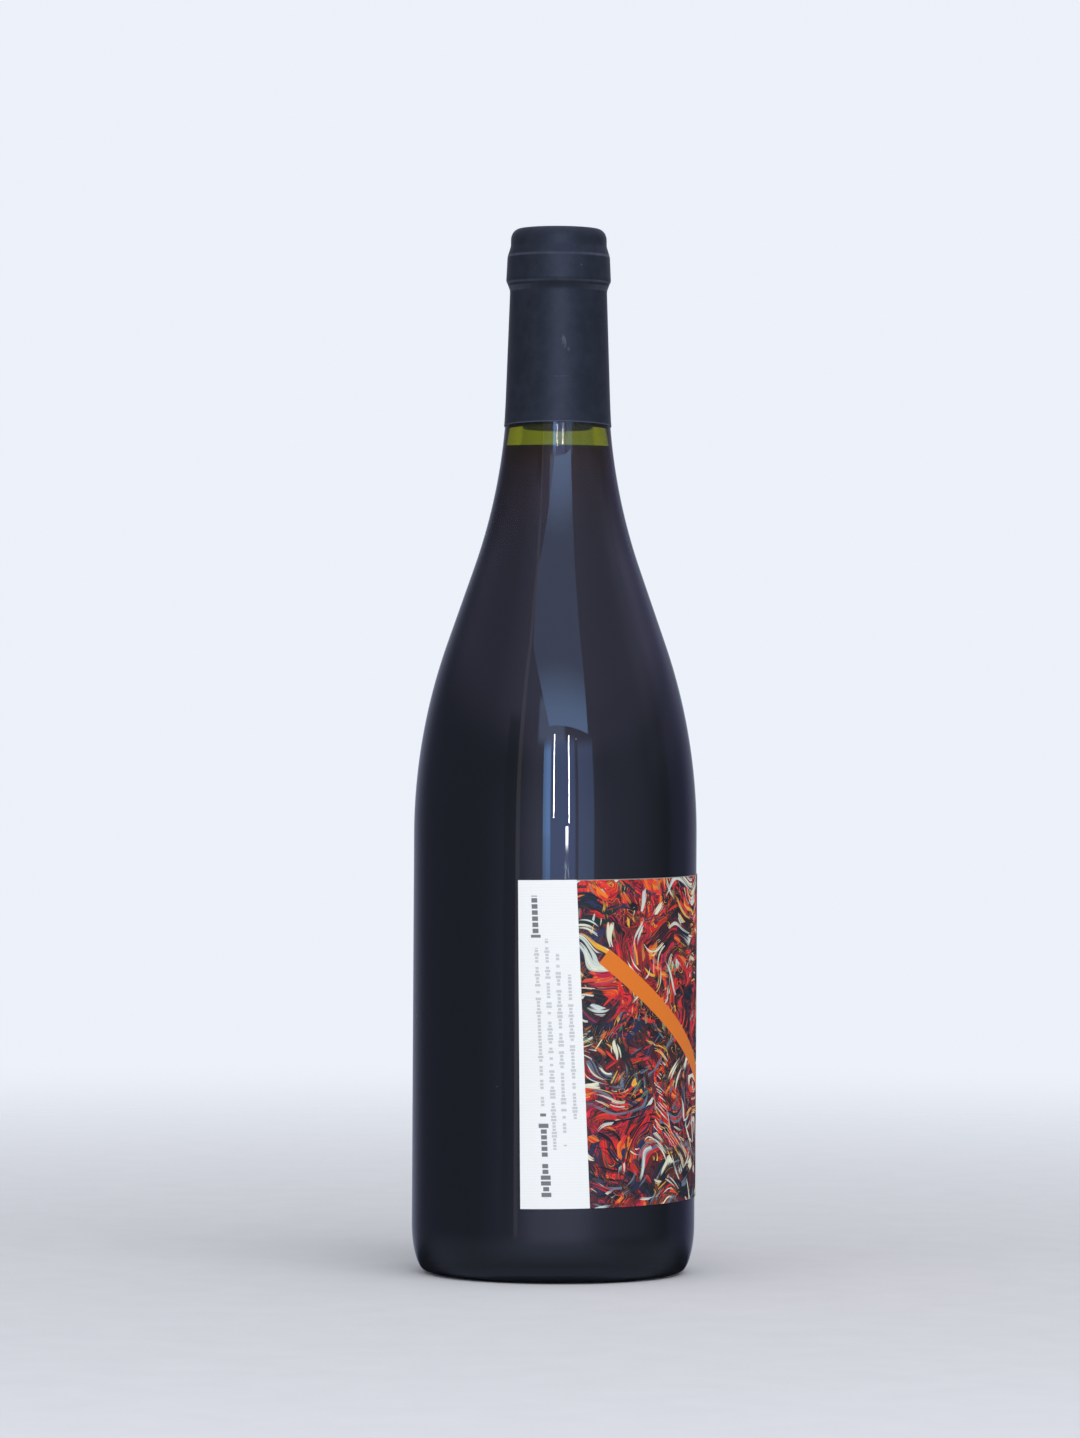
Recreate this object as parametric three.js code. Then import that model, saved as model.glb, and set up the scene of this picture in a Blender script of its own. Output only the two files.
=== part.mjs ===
// A full 750 ml wine bottle with sloping shoulders: dark glass, the wine in it,
// a foil capsule over its neck and mouth, and a paper label round the body.
// Millimetres, +Z up. The bottle's axis is the Z axis, it stands on z = 0,
// and its front, where the label starts, looks along -Y.

import * as THREE from 'three';

// Facets round every turned piece; a multiple of four, so that the box is true
const SIDES = 60;

// Glass, outside
const BODY_RADIUS = 40.25;
const GLASS_TOP = 296.7;
const RING_INNER = 30.4;
const RING_OUTER = 33.4;
const PUNT_DEPTH = 18;
const HEEL_WIDTH = 4.5;
const HEEL_HEIGHT = 14;
const HEEL_SWEEP = 60;
const SHOULDER_START = 124.6;
const SHOULDER_ARC = 164.8;
const SLOPE_ANGLE = 19.2;
const FLARE_START = 200.3;
const FLARE_ARC = 164;
const NECK_ANGLE = 2;

// Glass, the collar and the lip above it
const COLLAR_RADIUS = 14.6;
const COLLAR_TAPER = 0.3;
const COLLAR_BOTTOM = 282;
const COLLAR_TOP = 289;
const COLLAR_UNDERCUT = 2.6;
const COLLAR_CHAMFER = 3;
const LIP_RADIUS = 13.35;
const LIP_ROUND_WIDTH = 2.4;
const LIP_ROUND_HEIGHT = 2.9;

// Glass, inside
const WALL = 3;
const FLOOR = 4.5;
const VALLEY_RADIUS = 33.2;
const VALLEY_HEIGHT = 5.2;
const INNER_HEEL_TOP = 17;
const BORE_RADIUS = 9.25;
const BORE_DEPTH = 50;
const BORE_ANGLE = 0.75;

// Wine, capsule and label
const WINE_LEVEL = 234.7;
const WINE_GAP = 0.1;
const CAPSULE_EDGE = 241.4;
const CAPSULE_GAP = 0.05;
const CAPSULE_SKIN = 0.3;
const LABEL_BOTTOM = 21.3;
const LABEL_TOP = 112.7;
const LABEL_LEFT_AT_TOP = -14.9;
const LABEL_LEFT_AT_BOTTOM = -13.2;
const LABEL_RIGHT = 185;
const LABEL_FACETS = 42;
const LABEL_GAP = 0.08;
const LABEL_PAPER = 0.15;

const radians = THREE.MathUtils.degToRad;

// The outline of a turned piece is a list of (radius, height) points.
function at(radius, height) {
  return new THREE.Vector2(radius, height);
}

// Points on an ellipse, or on a circle where wide and tall are the same
function curve(centre, wide, tall, fromDegrees, toDegrees, steps) {
  const points = [];
  for (let i = 0; i <= steps; i += 1) {
    const angle = radians(fromDegrees + ((toDegrees - fromDegrees) * i) / steps);
    points.push(at(centre.x + wide * Math.cos(angle), centre.y + tall * Math.sin(angle)));
  }
  return points;
}

// The direction square to the shoulder's straight slope, pointing out of the glass
const slopeNormal = at(Math.cos(radians(SLOPE_ANGLE)), Math.sin(radians(SLOPE_ANGLE)));

// The shoulder is a convex arc, a straight slope tangent to it, and a concave flare
// that turns the slope into the neck.
const shoulderCentre = at(BODY_RADIUS - SHOULDER_ARC, SHOULDER_START);
const slopeBottom = shoulderCentre.clone().addScaledVector(slopeNormal, SHOULDER_ARC);
const slopeRise = FLARE_START - slopeBottom.y;
const slopeTop = at(slopeBottom.x - slopeRise * Math.tan(radians(SLOPE_ANGLE)), FLARE_START);
const flareCentre = slopeTop.clone().addScaledVector(slopeNormal, FLARE_ARC);

// The angle on the flare, in degrees, at which it reaches a height
function flareAngleAt(height, centre, radius) {
  return 180 + THREE.MathUtils.radToDeg(Math.asin((centre.y - height) / radius));
}

// The heel rolls from the resting ring into an ellipse that runs up into the body
function heelOutline() {
  const centre = at(BODY_RADIUS - HEEL_WIDTH, HEEL_HEIGHT);
  const ellipse = curve(centre, HEEL_WIDTH, HEEL_HEIGHT, -HEEL_SWEEP, 0, 4);
  const foot = ellipse[0];
  const tangent = HEEL_WIDTH / HEEL_HEIGHT * Math.tan(radians(HEEL_SWEEP));
  const corner = at(foot.x - foot.y * tangent, 0);
  const roll = new THREE.QuadraticBezierCurve(at(RING_OUTER, 0), corner, foot);
  return [...roll.getPoints(3), ...ellipse.slice(1)];
}

// Punt, resting ring, heel, body, shoulder and flare, up to the capsule's edge
function bodyOutline() {
  const flareStop = flareAngleAt(CAPSULE_EDGE, flareCentre, FLARE_ARC);
  return [
    ...curve(at(0, 0), RING_INNER, PUNT_DEPTH, 90, 0, 6),
    ...heelOutline(),
    ...curve(shoulderCentre, SHOULDER_ARC, SHOULDER_ARC, 0, SLOPE_ANGLE, 7),
    ...curve(flareCentre, FLARE_ARC, FLARE_ARC, 180 + SLOPE_ANGLE, flareStop, 6),
  ];
}

// Neck, collar and lip above the capsule's edge, a skin's thickness outside the glass
function neckOutline(skin) {
  const radius = FLARE_ARC - skin;
  const start = flareAngleAt(CAPSULE_EDGE, flareCentre, radius);
  const flare = curve(flareCentre, radius, radius, start, 180 + NECK_ANGLE, 2);
  const neckFoot = flare[flare.length - 1];
  const neckTop = COLLAR_BOTTOM - COLLAR_UNDERCUT;
  const neckRadius = neckFoot.x - (neckTop - neckFoot.y) * Math.tan(radians(NECK_ANGLE));
  const collarRadius = COLLAR_RADIUS + skin;
  const lipRadius = LIP_RADIUS + skin;
  const lipCentre = at(LIP_RADIUS - LIP_ROUND_WIDTH, GLASS_TOP - LIP_ROUND_HEIGHT);
  return [
    ...flare,
    at(neckRadius, neckTop),
    at(collarRadius, COLLAR_BOTTOM),
    at(collarRadius - COLLAR_TAPER, COLLAR_TOP),
    at(lipRadius, COLLAR_TOP + COLLAR_CHAMFER),
    ...curve(lipCentre, LIP_ROUND_WIDTH + skin, LIP_ROUND_HEIGHT + skin, 0, 90, 3),
  ];
}

// The inside of the glass from its domed floor up, drawn in by a clearance. The wall
// is even up to the shoulder's slope, and an arc tangent to slope and bore thickens it
// through the neck.
function insideOutline(clearance, topOfFlare) {
  const valley = VALLEY_RADIUS + clearance;
  const valleyHeight = VALLEY_HEIGHT + clearance;
  const inset = WALL + clearance;
  const domeHeight = PUNT_DEPTH + FLOOR - VALLEY_HEIGHT;
  const heelWidth = BODY_RADIUS - inset - valley;
  const heelHeight = INNER_HEEL_TOP - valleyHeight;
  const arc = SHOULDER_ARC - inset;
  const innerSlopeTop = slopeTop.clone().addScaledVector(slopeNormal, -WALL);
  const slope = radians(SLOPE_ANGLE);
  const taper = radians(BORE_ANGLE);
  const boreFoot = at(BORE_RADIUS + BORE_DEPTH * Math.tan(taper), GLASS_TOP - BORE_DEPTH);
  const slopeAtFoot = innerSlopeTop.x - (boreFoot.y - innerSlopeTop.y) * Math.tan(slope);
  const spread = (1 - Math.cos(slope - taper)) / Math.cos(slope);
  const flareArc = (boreFoot.x - slopeAtFoot) / spread;
  const toCentre = at(Math.cos(taper), Math.sin(taper));
  const centre = boreFoot.clone().addScaledVector(toCentre, flareArc);
  const radius = flareArc + clearance;
  const stop = topOfFlare ? flareAngleAt(topOfFlare, centre, radius) : 180 + BORE_ANGLE;
  return [
    ...curve(at(0, valleyHeight), valley, domeHeight, 90, 0, 5),
    ...curve(at(valley, INNER_HEEL_TOP), heelWidth, heelHeight, -90, 0, 3).slice(1),
    ...curve(shoulderCentre, arc, arc, 0, SLOPE_ANGLE, 5),
    ...curve(centre, radius, radius, 180 + SLOPE_ANGLE, stop, 5),
  ];
}

// A turned solid about the Z axis, from an outline that starts and ends on the axis
function turned(outline) {
  return new THREE.LatheGeometry(outline, SIDES).rotateX(Math.PI / 2);
}

// The bottle itself: one hollow piece of glass, open at its mouth
function glassGeometry() {
  const neck = neckOutline(0).slice(1);
  const bore = [at(BORE_RADIUS, GLASS_TOP), ...insideOutline(0).reverse()];
  return turned([...bodyOutline(), ...neck, ...bore]);
}

// The wine fills the glass from its floor to a level in the neck
function wineGeometry() {
  return turned([...insideOutline(WINE_GAP, WINE_LEVEL), at(0, WINE_LEVEL)]);
}

// A thin cup pulled down over the lip, the collar and the upper neck
function capsuleGeometry() {
  const inside = neckOutline(CAPSULE_GAP).reverse();
  const outside = neckOutline(CAPSULE_SKIN);
  return turned([
    at(0, GLASS_TOP + CAPSULE_GAP),
    ...inside,
    ...outside,
    at(0, GLASS_TOP + CAPSULE_SKIN),
  ]);
}

// A sheet of paper bent round the body; its left edge leans a little
function labelGeometry() {
  const sheet = new THREE.BoxGeometry(1, 1, 1, LABEL_FACETS, 1, 1);
  const corners = sheet.attributes.position;
  const glassSide = BODY_RADIUS + LABEL_GAP;
  for (let i = 0; i < corners.count; i += 1) {
    const across = corners.getX(i) + 0.5;
    const up = corners.getY(i) + 0.5;
    const through = corners.getZ(i) + 0.5;
    const left = THREE.MathUtils.lerp(LABEL_LEFT_AT_BOTTOM, LABEL_LEFT_AT_TOP, up);
    const angle = radians(THREE.MathUtils.lerp(left, LABEL_RIGHT, across));
    const radius = glassSide + LABEL_PAPER * through;
    const height = THREE.MathUtils.lerp(LABEL_BOTTOM, LABEL_TOP, up);
    corners.setXYZ(i, radius * Math.sin(angle), -radius * Math.cos(angle), height);
  }
  sheet.computeVertexNormals();
  return sheet;
}

function piece(name, geometry, finish) {
  const mesh = new THREE.Mesh(geometry, new THREE.MeshStandardMaterial(finish));
  mesh.name = name;
  return mesh;
}

const group = new THREE.Group();
group.add(
  piece('bottle_glass', glassGeometry(), { color: 0x20231c, roughness: 0.05, metalness: 0 }),
  piece('wine', wineGeometry(), { color: 0x24080f, roughness: 0.1, metalness: 0 }),
  piece('capsule', capsuleGeometry(), { color: 0x2b313d, roughness: 0.6, metalness: 0.1 }),
  piece('label', labelGeometry(), { color: 0xebeff2, roughness: 0.85, metalness: 0 }),
);

export default group;
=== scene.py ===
# %% [markdown]
# A full bottle of red wine, stood upright in a plain studio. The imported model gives
# the solids at their true size: the glass, the wine, the capsule and the label. This
# script dresses them. It makes a finer piece for each solid, in the same place, and
# gives each its finish. Blender counts in metres, and MM turns millimetres into them.

# %% Load the frame
import math

import bmesh
import bpy
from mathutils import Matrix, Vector


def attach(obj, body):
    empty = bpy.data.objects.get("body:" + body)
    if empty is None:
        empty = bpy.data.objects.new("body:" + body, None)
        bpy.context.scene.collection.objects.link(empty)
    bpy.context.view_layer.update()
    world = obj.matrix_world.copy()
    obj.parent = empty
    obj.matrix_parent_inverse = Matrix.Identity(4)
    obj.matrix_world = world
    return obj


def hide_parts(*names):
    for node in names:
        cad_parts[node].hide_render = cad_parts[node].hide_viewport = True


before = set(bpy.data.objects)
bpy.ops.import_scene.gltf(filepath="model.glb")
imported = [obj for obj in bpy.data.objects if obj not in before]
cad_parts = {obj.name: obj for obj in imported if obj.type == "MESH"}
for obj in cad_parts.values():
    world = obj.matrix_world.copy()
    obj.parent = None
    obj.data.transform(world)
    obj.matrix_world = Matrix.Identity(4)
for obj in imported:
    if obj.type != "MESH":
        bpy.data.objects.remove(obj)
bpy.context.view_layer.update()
MM = 0.001

# %% [markdown]
# The camera comes first. The photograph was taken level, from far off, so the
# bottle's sides stay parallel. The lens is long, and the picture is turned a third of
# a degree, as the camera was.

# %% Camera
CAMERA_DISTANCE = 1.617
CAMERA_HEIGHT = 0.1574
CAMERA_ASIDE = -0.00456
CAMERA_ROLL = math.radians(0.34)
LENS = 142.1

camera_data = bpy.data.cameras.new("camera")
camera_data.lens = LENS
camera_data.sensor_width = 36
camera = bpy.data.objects.new("camera", camera_data)
camera.location = (CAMERA_ASIDE, -CAMERA_DISTANCE, CAMERA_HEIGHT)
camera.rotation_euler = (math.pi / 2, -CAMERA_ROLL, 0)
bpy.context.scene.collection.objects.link(camera)
bpy.context.scene.camera = camera
bpy.context.scene.view_settings.view_transform = "Standard"
print("camera", camera.location[:])

# %% [markdown]
# Every finish below is worked out as sums and products of patterns. Adding each node
# by hand hides the thought, so one small class wraps a socket. Its operators add the
# Math nodes, and its one method, add, makes any other node.


# %% Sockets that can be added and multiplied
class Wire:
    """A socket of a node tree, for use in arithmetic."""

    def __init__(self, tree, socket=None):
        self.tree = tree
        self.socket = socket

    def add(self, kind, settings=None, inputs=None, output=0):
        """Makes a node: its settings first, then the values or wires of its inputs."""
        node = self.tree.nodes.new("ShaderNode" + kind)
        for name, value in (settings or {}).items():
            if name == "stops":
                set_stops(node.color_ramp, value)
            else:
                setattr(node, name, value)
        for name, value in (inputs or {}).items():
            if isinstance(value, Wire):
                self.tree.links.new(value.socket, node.inputs[name])
            else:
                node.inputs[name].default_value = value
        return Wire(self.tree, node.outputs[output])

    def many(self):
        """True of a colour or a vector, False of a number."""
        return self.socket.type != "VALUE"

    def step(self, operation, first, second):
        """One step of arithmetic, on numbers or on each channel of a colour."""
        pair = (first, second)
        if not any(isinstance(v, tuple) or (isinstance(v, Wire) and v.many()) for v in pair):
            return self.add("Math", {"operation": operation}, dict(enumerate(pair)))
        triples = [v if isinstance(v, (Wire, tuple)) else (v, v, v) for v in pair]
        return self.add("VectorMath", {"operation": operation}, dict(enumerate(triples)))

    def __add__(self, other):
        return self.step("ADD", self, other)

    def __sub__(self, other):
        return self.step("SUBTRACT", self, other)

    def __rsub__(self, other):
        return self.step("SUBTRACT", other, self)

    def __mul__(self, other):
        return self.step("MULTIPLY", self, other)

    def __truediv__(self, other):
        return self.step("DIVIDE", self, other)

    def __lt__(self, other):
        return self.step("LESS_THAN", self, other)

    def __gt__(self, other):
        return self.step("GREATER_THAN", self, other)

    def __abs__(self):
        return self.step("ABSOLUTE", self, 0.0)

    __radd__ = __add__
    __rmul__ = __mul__

    def above(self, low, high):
        """0 below low, 1 above high, and a smooth rise between."""
        settings = {"interpolation_type": "SMOOTHSTEP"}
        return self.add("MapRange", settings, {"Value": self, "From Min": low, "From Max": high})

    def between(self, low, high, soft):
        """1 from low to high, fading over soft on either side."""
        return self.above(low - soft, low) * (1.0 - self.above(high, high + soft))

    def pick(self, under, over):
        """A colour: under where this is 0, over where it is 1."""
        settings = {"data_type": "RGBA"}
        return self.add("Mix", settings, {0: self, 6: under, 7: over}, 2)

    def ramp(self, *colours):
        """One of a row of colours, in equal steps of this number from 0 to 1."""
        stops = [(i / len(colours), colour) for i, colour in enumerate(colours)]
        # CONSTANT is set after the stops, because a ramp starts out as a blend
        wire = self.add("ValToRGB", {"stops": stops}, {0: self})
        wire.socket.node.color_ramp.interpolation = "CONSTANT"
        return wire

    def part(self, name):
        """One number of a vector or a colour: X, Y or Z."""
        return self.add("SeparateXYZ", None, {"Vector": self}, "XYZ".index(name))


# %% Helpers for finishes
def set_stops(ramp, stops):
    """Gives a colour ramp its stops, a list of (position, colour)."""
    while len(ramp.elements) > 1:
        ramp.elements.remove(ramp.elements[-1])
    ramp.elements[0].position, ramp.elements[0].color = stops[0]
    for position, colour in stops[1:]:
        ramp.elements.new(position).color = colour


def shade(red, green, blue):
    """A colour given as the eye sees it, 0 to 255, in the linear numbers of a shader."""
    values = [v / 255 for v in (red, green, blue)]
    return (*[v / 12.92 if v <= 0.04045 else ((v + 0.055) / 1.055) ** 2.4 for v in values], 1.0)


def cloudy(where, scale, detail, roughness=0.5, output=0):
    """A soft noise over a place: output 0 is a number from 0 to 1, output 1 a colour."""
    inputs = {"Vector": where, "Scale": scale, "Detail": detail, "Roughness": roughness}
    return where.add("TexNoise", None, inputs, output)


def flat_noise(where, scale, detail=1.5):
    """A soft noise that reads only the first two numbers of a place."""
    inputs = {"Vector": where, "Scale": scale, "Detail": detail}
    return where.add("TexNoise", {"noise_dimensions": "2D"}, inputs)


def length(vector):
    """How long a vector is."""
    return vector.add("VectorMath", {"operation": "LENGTH"}, {0: vector}, 1)


def layered(share, under, over):
    """Two finishes in one: under where share is 0, over where it is 1."""
    return under.add("MixShader", None, {0: share, 1: under, 2: over})


def new_finish(name):
    """A new material: a wire to build with, its Principled node and its output."""
    material = bpy.data.materials.new(name)
    material.use_nodes = True
    nodes = material.node_tree.nodes
    return material, Wire(material.node_tree), nodes["Principled BSDF"], nodes["Material Output"]


def feed(node, **values):
    """Sets sockets of a node, named in words joined by underscores, by value or wire."""
    for name, value in values.items():
        socket = node.inputs[name.replace("_", " ")]
        if isinstance(value, Wire):
            value.tree.links.new(value.socket, socket)
        else:
            socket.default_value = value


print("socket arithmetic is ready")

# %% [markdown]
# The bottle is a body of revolution: on the real one a mould blown full of hot glass.
# Its outline is drawn once, as arcs and straight runs, and spun about the axis. The
# outline uses the same sizes as the solid, with far more points on each curve, so the
# reflections run smoothly along the glass.

# %% Outline helpers
ROUND = 192
BODY = 40.25
WALL = 3.0
SLOPE = math.radians(19.2)


def arc(centre, wide, tall, start, stop, steps):
    """Points on an ellipse from one angle to another, in degrees; sizes in millimetres."""
    angles = [math.radians(start + (stop - start) * i / steps) for i in range(steps + 1)]
    return [Vector((centre[0] + wide * math.cos(a), centre[1] + tall * math.sin(a))) for a in angles]


def bend(start, corner, stop, steps):
    """A rounded corner: points on the curve from start to stop that heads for corner."""
    start, corner, stop = Vector(start), Vector(corner), Vector(stop)
    shares = [i / steps for i in range(steps + 1)]
    return [start * (1 - t) ** 2 + corner * 2 * t * (1 - t) + stop * t * t for t in shares]


def turned(name, outline, sharp=30):
    """Spins an outline about the axis into a smooth closed piece."""
    shape = bmesh.new()
    line = [shape.verts.new((p[0] * MM, 0, p[1] * MM)) for p in outline]
    runs = [shape.edges.new(pair) for pair in zip(line, line[1:])]
    bmesh.ops.spin(
        shape, geom=line + runs, cent=(0, 0, 0), axis=(0, 0, 1), dvec=(0, 0, 0),
        angle=math.tau, steps=ROUND, use_merge=True, use_duplicate=False,
    )
    bmesh.ops.remove_doubles(shape, verts=shape.verts, dist=1e-6)
    return finished(name, shape, sharp)


def finished(name, shape, sharp=30):
    """Turns a bmesh into an object, smooth except where faces meet sharply."""
    bmesh.ops.recalc_face_normals(shape, faces=shape.faces)
    limit = math.radians(sharp)
    for face in shape.faces:
        face.smooth = True
    for edge in shape.edges:
        edge.smooth = edge.calc_face_angle(0) < limit
    mesh = bpy.data.meshes.new(name)
    shape.to_mesh(mesh)
    shape.free()
    piece = bpy.data.objects.new(name, mesh)
    bpy.context.scene.collection.objects.link(piece)
    print(name, "faces", len(mesh.polygons), "size", [round(v / MM, 1) for v in piece.dimensions])
    return piece


# %% The shoulder's three runs
SHOULDER_START = 124.6
SHOULDER_ARC = 164.8
FLARE_START = 200.3
FLARE_ARC = 164.0

slope_out = Vector((math.cos(SLOPE), math.sin(SLOPE)))
shoulder_centre = Vector((BODY - SHOULDER_ARC, SHOULDER_START))
slope_foot = shoulder_centre + slope_out * SHOULDER_ARC
slope_top = Vector((slope_foot.x - (FLARE_START - slope_foot.y) * math.tan(SLOPE), FLARE_START))
flare_centre = slope_top + slope_out * FLARE_ARC


def angle_at(height, centre, radius):
    """The angle, in degrees, at which the flare's arc reaches a height."""
    return 180 + math.degrees(math.asin((centre.y - height) / radius))


print("the slope runs from", slope_foot[:], "to", slope_top[:])

# %% The glass, outside
PUNT_DEPTH = 18.0
RING_INNER = 30.4
RING_OUTER = 33.4
RING_ROLL = 1.2
HEEL_WIDTH = 4.5
HEEL_HEIGHT = 14.0
HEEL_SWEEP = 60
NECK_ANGLE = 2.0
CAPSULE_EDGE = 241.4
CAPSULE_GAP = 0.05
GROOVE = 279.4
COLLAR_FOOT = 281.9
COLLAR_TOP = 289.0
COLLAR = 14.6
COLLAR_TAPER = 0.3
RIDGE = 0.14
LIP_FOOT = 292.0
LIP = 13.35
LIP_WIDE = 2.4
LIP_TALL = 2.9
GLASS_TOP = 296.7


def heel():
    """The resting ring, the roll out of it and the ellipse up into the body."""
    side = arc((BODY - HEEL_WIDTH, HEEL_HEIGHT), HEEL_WIDTH, HEEL_HEIGHT, -HEEL_SWEEP, 0, 14)
    foot = side[0]
    lean = HEEL_WIDTH / HEEL_HEIGHT * math.tan(math.radians(HEEL_SWEEP))
    roll = bend((RING_OUTER, 0), (foot.x - foot.y * lean, 0), foot, 8)
    return roll + side[1:]


def eased(radius, height, before, after, steps, bulge=0.0):
    """A corner rounded from an offset before it to an offset after it. A bulge draws
    the curve out past the corner."""
    start = (radius + before[0], height + before[1])
    stop = (radius + after[0], height + after[1])
    return bend(start, (radius + bulge, height), stop, steps)


def neck(skin):
    """Neck, collar and lip above the capsule's edge, a skin outside the glass."""
    radius = FLARE_ARC - skin
    start = angle_at(CAPSULE_EDGE, flare_centre, radius)
    flare = arc(flare_centre, radius, radius, start, 180 + NECK_ANGLE, 6)
    groove = flare[-1].x - (GROOVE - flare[-1].y) * math.tan(math.radians(NECK_ANGLE))
    collar = COLLAR + skin
    lip = LIP + skin
    ridge = RIDGE if skin > CAPSULE_GAP else 0.0
    lip_centre = (LIP - LIP_WIDE, GLASS_TOP - LIP_TALL)
    return (
        flare
        + eased(groove, GROOVE, (0.03, -0.7), (0.35, 0.8), 3)
        + eased(collar, COLLAR_FOOT, (-0.35, -0.6), (-0.02, 1.1), 5, ridge)
        + eased(collar - COLLAR_TAPER, COLLAR_TOP, (0.02, -0.6), (-0.2, 0.6), 4)
        + eased(lip, LIP_FOOT, (0.15, -0.5), (0.0, 0.6), 3)
        + arc(lip_centre, LIP_WIDE + skin, LIP_TALL + skin, 0, 90, 8)
    )


punt = arc((0, 0), RING_INNER, PUNT_DEPTH, 90, 4, 20)
ring = bend(punt[-1], (RING_INNER, 0), (RING_INNER + RING_ROLL, 0), 3)
shoulder = arc(shoulder_centre, SHOULDER_ARC, SHOULDER_ARC, 0, math.degrees(SLOPE), 24)
flare_stop = angle_at(CAPSULE_EDGE, flare_centre, FLARE_ARC)
flare = arc(flare_centre, FLARE_ARC, FLARE_ARC, 180 + math.degrees(SLOPE), flare_stop, 20)
outside = punt[:-1] + ring + heel() + shoulder + flare + neck(0)[1:]
print("outside outline", len(outside), "points")

# %% The glass, inside
VALLEY = Vector((33.2, 5.2))
INNER_HEEL_TOP = 17.0
FLOOR = 4.5
BORE = 9.25
BORE_DEPTH = 50.0
BORE_TAPER = math.radians(0.75)
MOUTH_EDGE = 10.6
MOUTH_ROUND = 1.3


def inside(clearance, top=None):
    """The glass's inner outline from its domed floor up, drawn in by a clearance."""
    valley = VALLEY + Vector((clearance, clearance))
    inset = WALL + clearance
    dome = PUNT_DEPTH + FLOOR - VALLEY.y
    heel_wide = BODY - inset - valley.x
    heel_tall = INNER_HEEL_TOP - valley.y
    radius = SHOULDER_ARC - inset
    start = slope_top - slope_out * WALL
    foot = Vector((BORE + BORE_DEPTH * math.tan(BORE_TAPER), GLASS_TOP - BORE_DEPTH))
    slope_at_foot = start.x - (foot.y - start.y) * math.tan(SLOPE)
    spread = (1 - math.cos(SLOPE - BORE_TAPER)) / math.cos(SLOPE)
    flare_radius = (foot.x - slope_at_foot) / spread
    centre = foot + Vector((math.cos(BORE_TAPER), math.sin(BORE_TAPER))) * flare_radius
    flare_radius += clearance
    stop = angle_at(top, centre, flare_radius) if top else 180 + math.degrees(BORE_TAPER)
    return (
        arc((0, valley.y), valley.x, dome, 90, 0, 16)
        + arc((valley.x, INNER_HEEL_TOP), heel_wide, heel_tall, -90, 0, 10)[1:]
        + arc(shoulder_centre, radius, radius, 0, math.degrees(SLOPE), 20)
        + arc(centre, flare_radius, flare_radius, 180 + math.degrees(SLOPE), stop, 24)
    )


mouth = bend((MOUTH_EDGE, GLASS_TOP), (BORE, GLASS_TOP), (BORE, GLASS_TOP - MOUTH_ROUND), 4)
glass = turned("glass", outside + mouth + inside(0)[::-1])
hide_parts("bottle_glass")
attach(glass, "root")

# %% [markdown]
# Bottle glass of this kind is olive green. A thin wall of it passes yellow-green
# light, and a full bottle looks black. The colour belongs to the whole thickness, so
# it is a Volume Absorption and not a tint of the surface. Up to the foot of the neck
# the wine lets no light back out, so there the surface has a tone near black, and the
# mirrored room comes out clean. A thin layer of dust lies over the glass: bluish on
# the body and washed off the upper neck. In the hollow under the base the tone is
# painted near black, as painted shade. The mould leaves a soft waviness, and the ring
# that the bottle stands on is stippled.

# %% Glass finish
GLASS_TINT = (0.885, 0.88, 0.22, 1.0)
GLASS_DENSITY = 600.0
POLISH = 0.014
DUSTY = 0.017
BODY_TONE = (0.66, 0.76, 1.0, 1.0)
NECK_TONE = (0.66, 0.72, 0.62, 1.0)
HOLLOW_SHADE_TONE = (0.02, 0.024, 0.02, 1.0)
FULL_TONE = (0.008, 0.009, 0.012, 1.0)
FULL_UP_TO = (180.0, 212.0)
WASHED_FROM = (225.0, 233.0)
STIPPLED_UP_TO = (1.5, 4.0)

glass_finish, make, skin, out = new_finish("olive_glass")
place = make.add("TexCoord", output=3)
height = place.part("Z") / MM
from_axis = length(place * (1.0, 1.0, 0.0)) / MM
waves = cloudy(place, 30.0, 1.0)
film = cloudy(place, 90.0, 6.0, 0.6)
specks = make.add("TexVoronoi", None, {"Vector": place, "Scale": 160.0})
stipple = make.add("TexVoronoi", None, {"Vector": place, "Scale": 900.0})
dust = (1.0 - specks.above(0.03, 0.06)) * film.above(0.52, 0.6)
under_base = 1.0 - height.above(PUNT_DEPTH, PUNT_DEPTH + 0.4)
# Painted shade: the hollow under the base gets a near-black tone, as if little light reached into it
shaded_hollow = under_base * (1.0 - from_axis.above(RING_INNER + 0.2, RING_INNER + 0.8))
washed = height.above(*WASHED_FROM)
tone = shaded_hollow.pick(washed.pick(BODY_TONE, NECK_TONE), HOLLOW_SHADE_TONE)
stippled = 1.0 - height.above(*STIPPLED_UP_TO)
bumps = waves * (0.6 - washed * 0.5) + stipple * stippled * 0.25
relief = make.add("Bump", None, {"Height": bumps, "Strength": 0.12, "Distance": 0.001})
feed(
    skin, Base_Color=height.above(*FULL_UP_TO).pick(FULL_TONE, tone),
    Roughness=film.above(0.5, 0.8) * 0.015 + dust * 0.4 + POLISH,
    IOR=1.5, Transmission_Weight=1.0, Normal=relief,
)
matt = {"Base Color": tone, "Roughness": 0.8, "Specular IOR Level": 0.0}
dusting = make.add("BsdfPrincipled", None, matt)
surface = layered(DUSTY, Wire(make.tree, skin.outputs[0]), dusting)
absorb = make.add("VolumeAbsorption", None, {"Color": GLASS_TINT, "Density": GLASS_DENSITY})
feed(out, Surface=surface, Volume=absorb)
glass.data.materials.append(glass_finish)
print("glass finish", glass_finish.name, "with", len(glass_finish.node_tree.nodes), "nodes")

# %% [markdown]
# The wine fills the glass up to a level in the neck. It is so dark that no light
# comes through it. In the narrow neck a hint of purple is painted into its colour, a
# painted glow for the light that a thin layer of wine lets through. Its piece reaches
# a little into the glass wall, so that no air gap shows, and its top curves up where
# it wets the glass.

# %% Wine
WINE_LEVEL = 234.0
INTO_WALL = -0.15
MENISCUS_TALL = 0.8
MENISCUS_WIDE = 3.0
MENISCUS_LEAN = 0.6

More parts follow.
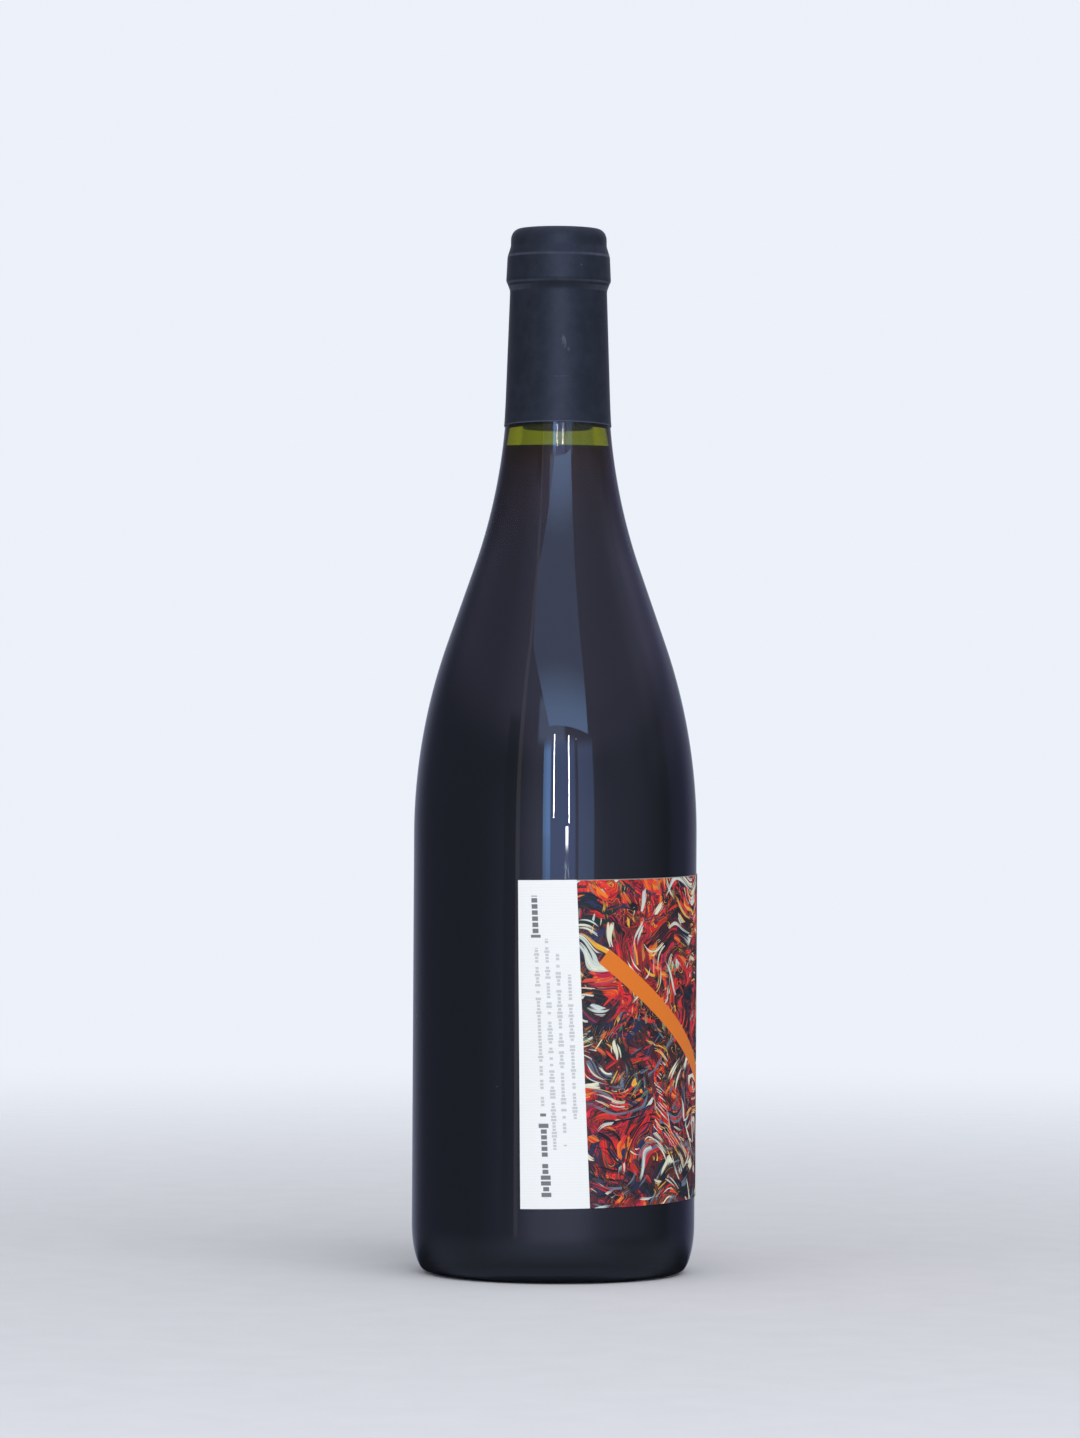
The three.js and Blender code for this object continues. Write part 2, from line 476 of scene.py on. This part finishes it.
wine_side = inside(INTO_WALL, WINE_LEVEL + MENISCUS_TALL)
brim = wine_side[-1]
heads_for = brim - Vector((MENISCUS_LEAN, MENISCUS_TALL))
meniscus = bend(brim, heads_for, (brim.x - MENISCUS_WIDE, WINE_LEVEL), 8)
wine = turned("wine_fill", wine_side + meniscus[1:] + [Vector((0, WINE_LEVEL))])
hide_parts("wine")
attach(wine, "root")

# %% Wine finish
NECK_PAINTED_GLOW = (205.0, 232.0)

wine_finish, make, skin, out = new_finish("dark_red_wine")
place = make.add("TexCoord", output=3)
height = place.part("Z") / MM
cloud = cloudy(place, 25.0, 2.0)
# Painted glow: up the neck the colour turns purple, standing in for light through the thin wine
colour = height.above(*NECK_PAINTED_GLOW).pick(shade(13, 15, 20), shade(76, 38, 50))
at_brim = height.above(WINE_LEVEL - 0.6, WINE_LEVEL + 0.5)
colour = at_brim.pick(colour, shade(70, 48, 40))
colour = (cloud * 0.25).pick(colour, shade(24, 14, 18))
feed(skin, Base_Color=colour, Roughness=0.3 + cloud * 0.1, Specular_IOR_Level=0.0)
wine.data.materials.append(wine_finish)
print("wine finish", wine_finish.name, "with", len(wine_finish.node_tree.nodes), "nodes")

# %% [markdown]
# The capsule is a thin cup, shrunk or rolled on over the mouth and the neck. It
# follows the glass under it: a rounded lip, a step, the collar's band and the long
# skirt. It did not go on quite level, so its cut edge droops towards the back. It is
# matt, slate dark and slightly mottled, with a few pale scuffs on the front. Along its
# cut edge and its creases, pale lines are painted into the colour as painted highlights.

# %% Capsule
CAPSULE_SKIN = 0.3
CUT_ROUND = 0.1
CUT_INSET = 0.04
CUT_BULGE = 0.03
EDGE_DROOP = 1.5
EDGE_ACROSS = 30.0
DROOP_FADES = 4.0

inner = neck(CAPSULE_GAP)
outer = neck(CAPSULE_SKIN)
cut = [
    inner[0] + Vector((CUT_INSET, 0)),
    outer[0] - Vector((CUT_ROUND / 2, 0)),
    outer[0] + Vector((CUT_BULGE, CUT_ROUND)),
]
crown = [Vector((0, GLASS_TOP + CAPSULE_GAP))]
cup = crown + inner[:0:-1] + cut + outer[1:] + [Vector((0, GLASS_TOP + CAPSULE_SKIN))]
capsule = turned("capsule_foil", cup)
for corner in capsule.data.vertices:
    back = 0.5 + corner.co.y / (EDGE_ACROSS * MM)
    near_edge = max(0.0, 1 - (corner.co.z / MM - CAPSULE_EDGE) / DROOP_FADES)
    corner.co.z -= EDGE_DROOP * MM * back * near_edge
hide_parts("capsule")
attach(capsule, "root")

# %% Capsule finish
foil, make, skin, out = new_finish("slate_foil")
place = make.add("TexCoord", output=3)
across = place.part("X") / MM
depth = place.part("Y") / MM
height = place.part("Z") / MM
mottle = cloudy(place, 260.0, 5.0, 0.65)
grain = cloudy(place, 2400.0, 2.0)
on_front = 1.0 - depth.above(-8.0, -2.0)


def scuff(x, z, wide, tall, lean):
    """A faint rubbed place on the front, by its middle and its size in millimetres."""
    right = across - x
    above = height - z - right * lean
    oval = length(right * (1 / wide, 0.0, 0.0) + above * (0.0, 1 / tall, 0.0))
    return (1.0 - oval.above(0.3, 1.0)) * on_front * grain.above(0.35, 0.6)


worn = scuff(1.6, 264.2, 0.9, 2.2, -0.8) + scuff(2.9, 262.0, 0.5, 0.7, 0.4) * 0.6
worn = worn + scuff(0.4, 254.3, 3.6, 0.16, 0.02) * 0.35 + scuff(6.4, 285.9, 0.35, 0.3, 0.0)
droop = (depth / EDGE_ACROSS + 0.5) * EDGE_DROOP
at_sides = abs(across).above(5.0, 14.0)
# Painted highlights: pale lines in the colour along the cut edge, the collar's creases and the groove's
# ends
edges = (1.0 - (height + droop).above(CAPSULE_EDGE + 0.15, CAPSULE_EDGE + 0.45)) * 0.8
edges = edges + height.between(COLLAR_TOP, COLLAR_TOP + 0.3, 0.35) * (0.3 + at_sides * 0.4)
edges = edges + height.between(COLLAR_FOOT - 0.5, COLLAR_FOOT - 0.2, 0.3) * (0.35 + at_sides * 0.2)
edges = edges + height.between(GROOVE - 0.1, GROOVE + 1.0, 0.4) * at_sides * 0.5
colour = mottle.above(0.35, 0.7).pick(shade(30, 36, 47), shade(36, 43, 55))
colour = (worn * 0.4).pick(colour, shade(120, 128, 150))
colour = (edges * (0.15 + mottle * 0.6)).pick(colour, shade(104, 112, 130))
bumps = mottle * 0.5 + grain * 0.2
relief = make.add("Bump", None, {"Height": bumps, "Strength": 0.15, "Distance": 0.0003})
feed(
    skin, Base_Color=colour, Roughness=0.44 + mottle * 0.1, Specular_IOR_Level=0.24,
    Sheen_Weight=0.14, Sheen_Roughness=0.3, Normal=relief,
)
capsule.data.materials.append(foil)
print("capsule finish", foil.name, "with", len(foil.node_tree.nodes), "nodes")

# %% [markdown]
# The label is one sheet of paper glued round the body. It starts just left of the
# middle and runs round the right-hand side to the back. Its left edge leans a little,
# and the whole sheet is stuck on slightly askew, turned in its own plane. A flat grid
# is bent round the glass, given its thickness, and mapped in millimetres, so that the
# print can be laid out as on the flat sheet.

# %% Label sheet
LABEL_BOTTOM = 21.3
LABEL_TOP = 112.7
LEFT_AT_TOP = -14.9
LEFT_AT_BOTTOM = -13.2
LABEL_RIGHT = 185.0
LABEL_TALL = LABEL_TOP - LABEL_BOTTOM
PAPER_INSIDE = 40.31
PAPER = 0.15
RISE = 1.8
SQUARES_ALONG = 220
SQUARES_UP = 100
MM_PER_UNIT = 100.0


def risen(angle):
    """How much higher the sheet lies at an angle than at the front, in millimetres."""
    return RISE * angle / math.radians(LABEL_RIGHT)


def bent_sheet():
    """A flat grid bent round the body, turned a little in its own plane."""
    sheet = bmesh.new()
    bmesh.ops.create_grid(sheet, x_segments=SQUARES_ALONG, y_segments=SQUARES_UP, size=0.5)
    for corner in sheet.verts:
        share_along = corner.co.x + 0.5
        share_up = corner.co.y + 0.5
        left = LEFT_AT_BOTTOM + (LEFT_AT_TOP - LEFT_AT_BOTTOM) * share_up
        angle = math.radians(left + (LABEL_RIGHT - left) * share_along)
        radius = PAPER_INSIDE * MM
        height = (LABEL_BOTTOM + LABEL_TALL * share_up + risen(angle)) * MM
        corner.co = (radius * math.sin(angle), -radius * math.cos(angle), height)
    bmesh.ops.recalc_face_normals(sheet, faces=sheet.faces)
    if sheet.faces[0].normal.dot(sheet.faces[0].calc_center_median() * Vector((1, 1, 0))) > 0:
        bmesh.ops.reverse_faces(sheet, faces=sheet.faces)
    bmesh.ops.solidify(sheet, geom=sheet.faces, thickness=PAPER * MM)
    return sheet


def map_in_millimetres(sheet):
    """Gives each corner its place on the flat sheet, in tenths of a metre."""
    layer = sheet.loops.layers.uv.new("flat_sheet")
    for face in sheet.faces:
        for loop in face.loops:
            x, y, z = loop.vert.co
            angle = math.atan2(x, -y)
            if angle < -math.pi / 2:
                angle += math.tau
            up = z / MM - LABEL_BOTTOM - risen(angle)
            loop[layer].uv = (angle * BODY / MM_PER_UNIT, up / MM_PER_UNIT)


sheet = bent_sheet()
map_in_millimetres(sheet)
label = finished("label_sheet", sheet)
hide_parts("label")
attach(label, "root")

# %% [markdown]
# The print has two parts. A white strip runs down the left edge, with rows of small
# print on it. The rest is a picture of thick brush strokes, edge to edge. It is made
# as a painter would: masses of wet paint drawn into each other, then layers of dabs,
# broad and dark ones first and smaller or brighter ones over them, then thin pale
# lines. A dab is a cell of a stretched Voronoi pattern. Patches turn the strokes, and
# two slow noises bend them.

# %% Places on the flat sheet
BORDER_AT_TOP = 5.9
BORDER_LEAN = 4.3
SWAY = 26.0
CURL = 16.0

paper, make, skin, out = new_finish("printed_paper")
flat = make.add("UVMap", {"uv_map": "flat_sheet"}) * (MM_PER_UNIT, MM_PER_UNIT, 0.0)
along = flat.part("X")
up = flat.part("Y")
border = BORDER_AT_TOP + BORDER_LEAN - up * (BORDER_LEAN / LABEL_TALL)
from_border = along - border
swayed = flat + (cloudy(flat, 0.045, 1.0, output=1) - 0.5) * SWAY
swirled = swayed + (cloudy(swayed, 0.13, 1.0, output=1) - 0.5) * CURL
label_long = math.radians(LABEL_RIGHT - LEFT_AT_BOTTOM) * BODY
print("label, flat:", round(label_long, 1), "x", round(LABEL_TALL, 1), "mm")

# %% Brush strokes
GREEN_BLACK = shade(34, 50, 48)
INK = shade(28, 30, 38)
NAVY = shade(44, 50, 82)
PLUM = shade(70, 44, 58)
MAROON = shade(100, 44, 48)
BROWN = shade(112, 66, 50)
RED = shade(222, 40, 40)
SCARLET = shade(236, 62, 40)
CRIMSON = shade(204, 34, 74)
ORANGE = shade(236, 124, 40)
AMBER = shade(244, 182, 60)
CREAM = shade(234, 232, 206)
ICE = shade(206, 220, 214)
JADE = shade(70, 140, 112)
SLATE = shade(104, 122, 142)


def slow(x, y, scale, low, high):
    """A slow noise over the sheet, from 0 to 1, that says where something lies."""
    return flat_noise(flat + (x, y, 0.0), scale).above(low, high)


def dabs(under, wide, long, share, seed, colours, zone=1.0):
    """One layer of brush strokes over a colour; zone says where they are thick."""
    offset = (seed * 13.7, seed * 7.3, 0.0)
    cells = {"voronoi_dimensions": "2D"}
    patch = make.add("TexVoronoi", cells, {"Vector": flat + offset, "Scale": 0.07}, 1)
    angle = patch.part("X") * 2.4 + seed
    turn = {"rotation_type": "Z_AXIS"}
    facing = make.add("VectorRotate", turn, {"Vector": swayed, "Angle": angle})
    spot = {"Vector": facing * (1 / wide, 1 / long, 0.0) + offset, "Scale": 1.0}
    reach = make.add("TexVoronoi", cells, spot)
    chance = make.add("TexVoronoi", cells, spot, 1)
    hairs = flat_noise(facing * (2.6 / wide + 1.0, 0.3 / long, 0.0) + offset, 1.0, 3.0)
    shape = 1.0 - (reach + (hairs - 0.5) * 1.6).above(0.3, 0.56)
    there = chance.part("X") < (zone * share)
    streaks = hairs.above(0.46, 0.62)
    paint = streaks.pick(chance.part("Y").ramp(*colours), chance.part("Z").ramp(*colours))
    return (shape * there).pick(under, paint * (0.7 + hairs * 0.6))


def wet(x, y, scale, colours):
    """Masses of paint drawn into each other: a slow noise, torn along the strokes."""
    mass = flat_noise(swirled + (x, y, 0.0), scale, 2.0)
    drawn = flat_noise(swirled * (1.1, 0.16, 0.0) + (x, y, 0.0), 1.0, 4.0)
    fine = flat_noise(swirled * (3.2, 0.4, 0.0) + (y, x, 0.0), 1.0, 2.0)
    level = (mass - 0.5) * 2.2 + (drawn - 0.5) * 1.3 + (fine - 0.5) * 0.6 + 0.5
    stops = [(i / (len(colours) - 1), colour) for i, colour in enumerate(colours)]
    paint = make.add("ValToRGB", {"stops": stops}, {0: level})
    return paint * (0.6 + fine * 0.8)


DARK_PAINT = (NAVY, INK, GREEN_BLACK, INK, MAROON, INK, PLUM, BROWN, RED)
HOT_PAINT = (
    INK, GREEN_BLACK, MAROON, RED, INK, MAROON, CRIMSON, RED, SCARLET, RED, ORANGE,
)
warm = slow(31.0, 7.0, 0.045, 0.42, 0.58)
lively = slow(3.0, 57.0, 0.06, 0.5, 0.6)
upper = up.above(18.0, 62.0)
torn = flat_noise(swirled * (0.9, 0.14, 0.0), 1.0, 3.0)
heat = warm + (torn - 0.5) * 1.4 + upper * 0.22
dark_masses = wet(11.0, 4.0, 0.07, DARK_PAINT)
hot_masses = wet(47.0, 29.0, 0.1, HOT_PAINT)
picture = heat.above(0.78, 0.98).pick(dark_masses, hot_masses)
picture = dabs(picture, 3.4, 9.0, 0.35, 2.0, (MAROON, INK, GREEN_BLACK, MAROON, NAVY, INK, BROWN))
picture = dabs(picture, 2.6, 6.0, 0.29, 3.0, (RED, SCARLET, CRIMSON, MAROON, ORANGE, INK), warm)
picture = dabs(picture, 1.4, 7.0, 0.3, 4.0, (INK, GREEN_BLACK, NAVY, MAROON, RED))
picture = dabs(picture, 1.3, 4.0, 0.22, 5.0, (ORANGE, SCARLET, JADE, AMBER, CRIMSON, GREEN_BLACK), upper)
picture = dabs(picture, 1.2, 8.0, 0.4, 6.0, (SLATE, NAVY, INK, SLATE, PLUM, INK), 1.0 - upper)
flow = make.add("Math", {"operation": "FRACT"}, {0: flat_noise(swirled, 0.12, 1.0) * 11.0})
hairlines = flow.between(0.02, 0.05, 0.03) * slow(70.0, 12.0, 0.07, 0.52, 0.56)
pale = torn.above(0.4, 0.5).pick(CREAM, AMBER)
picture = (hairlines * torn.above(0.4, 0.55)).pick(picture, pale)
picture = dabs(picture, 0.5, 6.5, 0.3, 7.0, (CREAM, ICE, CREAM, AMBER), lively)
picture = dabs(picture, 3.0, 4.2, 0.035, 8.0, (CREAM, ICE))
picture = dabs(picture, 1.4, 9.0, 0.06, 9.0, (CREAM, ICE))
print("brush strokes laid with", len(paper.node_tree.nodes), "nodes")

# %% [markdown]
# A plain orange band lies askew over the picture. The white strip beside the picture
# carries four rows that run up the bottle, and the row farthest from the picture has
# bolder ends. Each row is a run of blocks the size of letters, with a block left out
# here and there as the gap between words.

# %% Label print
BAND_LEFT = 14.0
BAND_TOP = 70.0
BAND_SLOPE = 0.8
BAND_HALF = 2.4
BAND_LONG = 74.0
SMALL = 0.95
BOLD = 1.8

steep = math.hypot(1.0, BAND_SLOPE)
across_band = (up - BAND_TOP + (along - BAND_LEFT) * BAND_SLOPE) / steep
along_band = (along - BAND_LEFT - (up - BAND_TOP) * BAND_SLOPE) / steep
in_band = across_band.between(-BAND_HALF, BAND_HALF, 0.1) * along_band.between(0.0, BAND_LONG, 0.1)
print_grain = cloudy(flat, 6.0, 2.0)
picture = in_band.pick(picture, print_grain.pick(shade(220, 116, 30), shade(238, 130, 40)))
white = 1.0 - from_border.above(-0.04, 0.04)


def bar(row, thick, pitch, low, high):
    """A row of small print as blocks the size of letters, parallel to the picture."""
    place_in_row = up / pitch
    letter = make.add("Math", {"operation": "FLOOR"}, {0: place_in_row})
    draw = {"Vector": letter * (1.0, 0.0, 0.0) + (0.5, row, 0.0)}
    chance = make.add("TexWhiteNoise", {"noise_dimensions": "2D"}, draw, 1)
    share = make.add("Math", {"operation": "FRACT"}, {0: place_in_row})
    half = thick * (0.42 + (chance.part("Y") > 0.7) * 0.3)
    block = (1.0 - (abs(from_border - row) - half).above(0.0, 0.12)) * up.between(low, high, 0.15)
    return share.between(0.15, 0.78, 0.12) * block * (chance.part("X") > 0.17)


small = bar(-12.0, SMALL, 0.95, 28.5, 72.5) + bar(-9.1, SMALL, 0.9, 16.5, 75.0)
small = small + bar(-6.2, SMALL, 1.0, 17.5, 71.0) + bar(-3.1, SMALL, 0.95, 25.0, 65.0)
bold = bar(-12.0, BOLD, 1.7, 75.5, 87.0) + bar(-12.0, BOLD, 1.6, 3.0, 26.5)
ribbed = {"Vector": flat, "Scale": 0.38, "Distortion": 0.6, "Detail": 1.0}
laid = make.add("TexWave", {"bands_direction": "Y"}, ribbed)
fibres = cloudy(flat, 3.0, 5.0)
strip = laid.pick(shade(246, 249, 250), shade(249, 252, 252))
strip = (small * 0.5).pick(strip, shade(150, 154, 160))
strip = (bold * 0.85).pick(strip, shade(70, 72, 78))
cut_edge = up.above(LABEL_TALL - 0.25, LABEL_TALL - 0.15)
colour = white.pick(cut_edge.pick(picture, shade(150, 150, 146)), strip)
relief = make.add("Bump", None, {"Height": laid * 0.5 + fibres, "Strength": 0.1, "Distance": 0.0002})
feed(skin, Base_Color=colour, Roughness=0.55 + fibres * 0.15, Specular_IOR_Level=0.3, Normal=relief)
label.data.materials.append(paper)
print("label finish", paper.name, "with", len(paper.node_tree.nodes), "nodes")

# %% [markdown]
# The studio is a plain pale floor that fades into a pale world. A soft key light
# stands in front, above and to the right, and a weaker fill in front on the left.

# %% Floor
FLOOR_RADIUS = 6.0
FADE_FROM = 0.12
FADE_TO = 1.0

bpy.ops.mesh.primitive_circle_add(vertices=96, radius=FLOOR_RADIUS, fill_type="NGON")
floor = bpy.context.object
floor.name = "floor"
floor_finish, make, skin, out = new_finish("pale_floor")
place = make.add("TexCoord", output=3)
grain = cloudy(place, 60.0, 4.0)
feed(skin, Base_Color=grain.pick(shade(208, 209, 213), shade(217, 218, 222)), Roughness=0.9)
faded = length(place).above(FADE_FROM, FADE_TO)
clear = make.add("BsdfTransparent")
feed(out, Surface=layered(faded, Wire(make.tree, skin.outputs[0]), clear))
floor.data.materials.append(floor_finish)
floor.visible_glossy = False
floor.visible_transmission = False
print("floor", FLOOR_RADIUS, "m in radius, faded out", FADE_TO, "m from the bottle")

# %% Lights
STUDIO = 2.6


def lamp(name, azimuth, elevation, size, radiance):
    """A square soft lamp, seen from the bottle in a direction given in degrees."""
    data = bpy.data.lights.new(name, "AREA")
    data.size = size
    data.energy = radiance * math.pi * size * size
    holder = bpy.data.objects.new(name, data)
    turn = math.radians(azimuth)
    lift = math.radians(elevation)
    level = Vector((math.sin(turn), -math.cos(turn), 0)) * math.cos(lift)
    away = level + Vector((0, 0, math.sin(lift)))
    holder.location = Vector((0, 0, CAMERA_HEIGHT)) + away * STUDIO
    holder.rotation_euler = away.to_track_quat("Z", "Y").to_euler()
    holder.visible_camera = False
    holder.visible_glossy = False
    bpy.context.scene.collection.objects.link(holder)
    print(name, "light", round(data.energy, 1), "W")


lamp("key", 30, 45, 2.4, 1.75)
lamp("fill", -45, 30, 2.4, 0.75)

# %% [markdown]
# Dark glass shows only what it mirrors, so what stands round the bottle matters more
# than the light on it. Three lit cards give the sharpest reflections: two bright
# upright tubes, and a tall window above, wider towards its head. They show in
# reflections alone. The camera does not see them, and they cast no shadow.

# %% Lit cards
CARD_DISTANCE = 1.5
CLIMB_FROM = -40
CLIMB_TO = 560
TUBE_LIGHT = (110.0, 110.0, 114.0, 1.0)
WINDOW_FOOT = (1.8, 2.75, 4.9, 1.0)
WINDOW_HEAD = (0.82, 0.98, 1.7, 1.0)


def lit_card(name, low, high, left_low, left_high, right, foot, head):
    """An upright card in front, seen in reflections alone, with its edges in
    millimetres. Its light goes from the foot's colour to the head's."""
    card = bmesh.new()
    bmesh.ops.create_grid(card, x_segments=1, y_segments=1, size=0.5)
    for corner in card.verts:
        share_up = corner.co.y + 0.5
        left = left_low + (left_high - left_low) * share_up
        x = left + (right - left) * (corner.co.x + 0.5)
        corner.co = (x * MM, -CARD_DISTANCE, (low + (high - low) * share_up) * MM)
    piece = finished(name, card)
    glow, make, skin, out = new_finish(name)
    make.tree.nodes.remove(skin)
    height = make.add("TexCoord", output=3).part("Z")
    climb = height.above((low + CLIMB_FROM) * MM, (low + CLIMB_TO) * MM)
    light = make.add("Emission", None, {"Color": climb.pick(foot, head)})
    feed(out, Surface=light)
    piece.data.materials.append(glow)
    piece.visible_camera = False
    piece.visible_diffuse = False
    piece.visible_transmission = False
    piece.visible_shadow = False


lit_card("tube_left", 201, 680, -44, -44, -30, TUBE_LIGHT, TUBE_LIGHT)
lit_card("tube_right", 172, 680, 279, 279, 292, TUBE_LIGHT, TUBE_LIGHT)
lit_card("window", 735, 2600, -160, -1740, 800, WINDOW_FOOT, WINDOW_HEAD)

# %% [markdown]
# The world holds the rest of the room, for mirror rays alone: soft walls, a floor and
# narrow openings, each given by its directions in degrees as seen from the bottle.
# The camera sees a plain pale backdrop. Rays that went through the glass see a pale
# wall above a dark table, and an even grey lights the paper, the foil and the floor.

# %% The room
# Left, right and softness, then foot, head and softness, then the light
OPENINGS = {
    "soft front": (-8, 14, 30, -8, 16, 8, (0.34, 0.33, 0.5)),
    "front, further right": (10, 60, 50, -4, 16, 8, (0.22, 0.22, 0.38)),
    "wide doorway": (-7, 15, 2, -0.8, 17, 3, (0.4, 0.8, 2.0)),
    "narrow doorway": (19, 31, 1, -3, 16, 3, (0.4, 0.75, 1.6)),
    "bright side of the doorway": (-10, -4.5, 0.5, 0, 16, 3, (1.1, 2.5, 5.2)),
    "foot of the window": (-14, 6, 3, 19.5, 26, 2.5, (0.7, 1.0, 1.65)),
    "table in front": (-10, 10, 60, -14, -4, 20, (0.22, 0.27, 0.42)),
    "floor": (-100, 100, 40, -50, -16, 12, (0.16, 0.18, 0.25)),
    "floor close by": (-120, 120, 30, -64, -44, 10, (0.05, 0.06, 0.1)),
    "upper wall, right": (-10, 110, 60, 26, 80, 14, (0.35, 0.34, 0.55)),
    "upper wall, left": (-110, 10, 60, 26, 80, 14, (0.19, 0.17, 0.3)),
    "right, high": (95, 150, 15, 12, 34, 8, (0.09, 0.085, 0.14)),
    "right, level": (115, 145, 15, -6, 30, 10, (0.07, 0.065, 0.16)),
    "left": (-150, -25, 20, -6, 40, 10, (0.05, 0.05, 0.1)),
    "brown line, left": (-32, -29.5, 0.8, -4, 50, 6, (0.36, 0.3, 0.28)),
    "small lamp": (8.2, 10.2, 0.3, -0.8, 1.0, 0.15, (30.0, 30.0, 31.0)),
}
SPARKS = (7.6, 10.8, 0.3, -1.42, -1.1, 0.03, (16.0, 16.0, 16.5))
DARK_POST = (-42, -33, 1.0, -4, 21, 3, 0.5)
CEILING = (0.9, 0.95, 1.1)
BEHIND = (0.3, 0.33, 0.44)
DEGREES = 180 / math.pi

world = bpy.data.worlds.new("studio")
bpy.context.scene.world = world
world.use_nodes = True
world.node_tree.nodes.clear()
make = Wire(world.node_tree)
toward = make.add("TexCoord", output=0)
ahead = 0.0 - toward.part("Y")
side = make.add("Math", {"operation": "ARCTAN2"}, {0: toward.part("X"), 1: ahead}) * DEGREES
rise = make.add("Math", {"operation": "ARCSINE"}, {0: toward.part("Z")}) * DEGREES


def opening(left, right, soft_side, low, high, soft_rise, colour):
    """Something bright in the room, by the directions that it fills, in degrees."""
    return side.between(left, right, soft_side) * rise.between(low, high, soft_rise) * colour


flecks = flat_noise(side * (1.2, 0.0, 0.0) + rise * (0.0, 50.0, 0.0), 1.0, 1.0)
room = opening(*SPARKS) * flecks.above(0.62, 0.66)
for directions in OPENINGS.values():
    room = room + opening(*directions)
room = room + rise.above(-12, -7) * abs(side).above(125, 180) * BEHIND
room = room + rise.above(45, 75) * CEILING
room = room * (1.0 - opening(*DARK_POST))
print("the room has", len(OPENINGS), "openings")

# %% World
PALE_BACKDROP = shade(236, 241, 250)
EVEN_GREY = (0.62, 0.63, 0.65, 1)
DARK_TABLE = (0.02, 0.02, 0.02, 1)
PALE_WALL = (0.58, 0.6, 0.62, 1)

rays = ["Is Camera Ray", "Is Glossy Ray", "Is Transmission Ray"]
camera_ray, glossy_ray, through_ray = [make.add("LightPath", None, None, name) for name in rays]
mirrored = glossy_ray * (1.0 - through_ray)
beyond = rise.above(0.5, 2.5).pick(DARK_TABLE, PALE_WALL)
soft = through_ray.pick(EVEN_GREY, beyond)
backdrop = camera_ray.pick(mirrored.pick(soft, room), PALE_BACKDROP)
background = make.add("Background", None, {"Color": backdrop, "Strength": 1.0})
feed(world.node_tree.nodes.new("ShaderNodeOutputWorld"), Surface=background)
print("world with", len(world.node_tree.nodes), "nodes")
